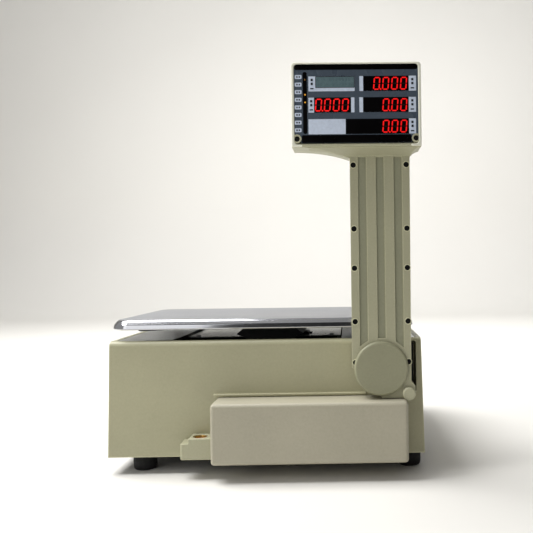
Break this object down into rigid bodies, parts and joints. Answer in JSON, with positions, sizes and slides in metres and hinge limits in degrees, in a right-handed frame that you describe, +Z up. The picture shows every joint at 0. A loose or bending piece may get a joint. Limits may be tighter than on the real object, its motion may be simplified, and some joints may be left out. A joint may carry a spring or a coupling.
{
  "type": "retail price scale",
  "caption": "Label-printing counter scale: boxed housing on rubber feet, steel weighing platter, and a folding column that carries a customer display.",
  "frame": {"origin": "on the counter, under the centre of the bounding box", "axes": "+X to the customer's right, +Y away from the customer towards the operator, +Z up"},
  "size_m": [0.4, 0.397, 0.504],
  "materials": {
    "housing_plastic": "fine texture",
    "column_plastic": "fine texture",
    "light_plastic": "satin",
    "black_plastic": "satin",
    "black_rubber": "matte",
    "stainless": "polished",
    "deck_sheet": "satin grey",
    "steel": "zinc plated",
    "black_casting": "powder coat",
    "circuit_board": "solder mask",
    "display_window": "gloss",
    "led": "gloss",
    "lcd": "gloss",
    "vial_liquid": "clear over brown",
    "label_paper": "paper",
    "brass": "turned"
  },
  "bodies": {
    "base": {"upper_housing": "housing_plastic", "base_plate": "black_plastic", "pedestal_housing": "housing_plastic", "deck_tray": "deck_sheet", "cell_cover": "stainless", "well_seal": "black_rubber", "load_cell": "steel", "cell_spacer": "steel", "level_bracket": "housing_plastic", "level_vial": "vial_liquid", "hinge_bracket": "black_casting", "hinge_axle": "steel", "axle_nut": "steel", "keyboard_pad": "light_plastic", "main_board": "circuit_board", "power_supply": "steel", "power_inlet": "black_plastic", "data_port": "black_plastic", "switch_frame": "black_plastic", "printer_frame": "steel", "print_head": "steel", "roll_spindle": "black_plastic", "stepper_motor": "steel", "drive_belt": "black_rubber", "tear_bar": "stainless", "spider": "black_casting", "spider_pad_1": "black_rubber", "spider_pad_2": "black_rubber", "spider_pad_3": "black_rubber", "spider_pad_4": "black_rubber"},
    "platter": {"platter": "stainless"},
    "column": {"display_front_shell": "column_plastic", "display_back_shell": "column_plastic", "hinge_cap": "column_plastic", "hinge_bush": "brass", "column_stiffener": "steel", "customer_window": "display_window", "operator_window": "display_window", "display_board": "circuit_board", "operator_board": "circuit_board", "lcd_module": "lcd", "operator_module": "lcd", "led_module_1": "led", "led_module_2": "led", "led_module_3": "led", "led_module_4": "led", "signal_cable": "black_rubber"},
    "lock": {"lock_knob": "column_plastic", "lock_screw": "steel"},
    "rocker": {"power_rocker": "black_plastic"},
    "door": {"printer_door": "housing_plastic"},
    "platen": {"platen_roller": "black_rubber"},
    "pulley": {"motor_pulley": "brass"},
    "roll": {"label_roll": "label_paper"},
    "foot_a": {"foot_1": "black_rubber"},
    "foot_b": {"foot_2": "black_rubber"},
    "foot_c": {"foot_3": "black_rubber"},
    "foot_d": {"foot_4": "black_rubber"}
  },
  "joints": [
    {"name": "platter_lift", "type": "slide", "parent": "base", "child": "platter", "axis": [0, 0, 1], "range_m": [0, 0.05]},
    {"name": "column_fold", "type": "hinge", "parent": "base", "child": "column", "pos_m": [0.1448, -0.1765, 0.1336], "axis": [0, -1, 0], "range_deg": [0, 90]},
    {"name": "lock_turn", "type": "hinge", "parent": "column", "child": "lock", "pos_m": [0.1784, -0.1765, 0.1024], "axis": [0, -1, 0], "range_deg": [0, 270]},
    {"name": "power_rocker_tilt", "type": "hinge", "parent": "base", "child": "rocker", "pos_m": [0.191, 0.1005, 0.058], "axis": [0, -1, 0], "range_deg": [0, 14]},
    {"name": "printer_door_swing", "type": "hinge", "parent": "base", "child": "door", "pos_m": [-0.2002, 0.1055, 0.064], "axis": [0, 0, 1], "range_deg": [0, 100]},
    {"name": "motor_pulley_spin", "type": "hinge", "parent": "base", "child": "pulley", "pos_m": [-0.1, 0.1605, 0.046], "axis": [1, 0, 0], "continuous": true},
    {"name": "platen_spin", "type": "hinge", "parent": "base", "child": "platen", "pos_m": [-0.15, 0.1795, 0.068], "axis": [1, 0, 0], "continuous": true},
    {"name": "label_roll_spin", "type": "hinge", "parent": "base", "child": "roll", "pos_m": [-0.165, 0.1395, 0.061], "axis": [1, 0, 0], "continuous": true},
    {"name": "foot_1_turn", "type": "hinge", "parent": "base", "child": "foot_a", "pos_m": [-0.162, -0.1215, 0.01], "axis": [0, 0, 1], "continuous": true},
    {"name": "foot_2_turn", "type": "hinge", "parent": "base", "child": "foot_b", "pos_m": [0.1825, -0.1215, 0.01], "axis": [0, 0, 1], "continuous": true},
    {"name": "foot_3_turn", "type": "hinge", "parent": "base", "child": "foot_c", "pos_m": [-0.162, 0.1685, 0.01], "axis": [0, 0, 1], "continuous": true},
    {"name": "foot_4_turn", "type": "hinge", "parent": "base", "child": "foot_d", "pos_m": [0.1825, 0.1685, 0.01], "axis": [0, 0, 1], "continuous": true}
  ],
  "couplings": [
    {"joint": "platen_spin", "follows": "label_roll_spin", "ratio": 3.8571},
    {"joint": "motor_pulley_spin", "follows": "label_roll_spin", "ratio": 3.8571}
  ]
}
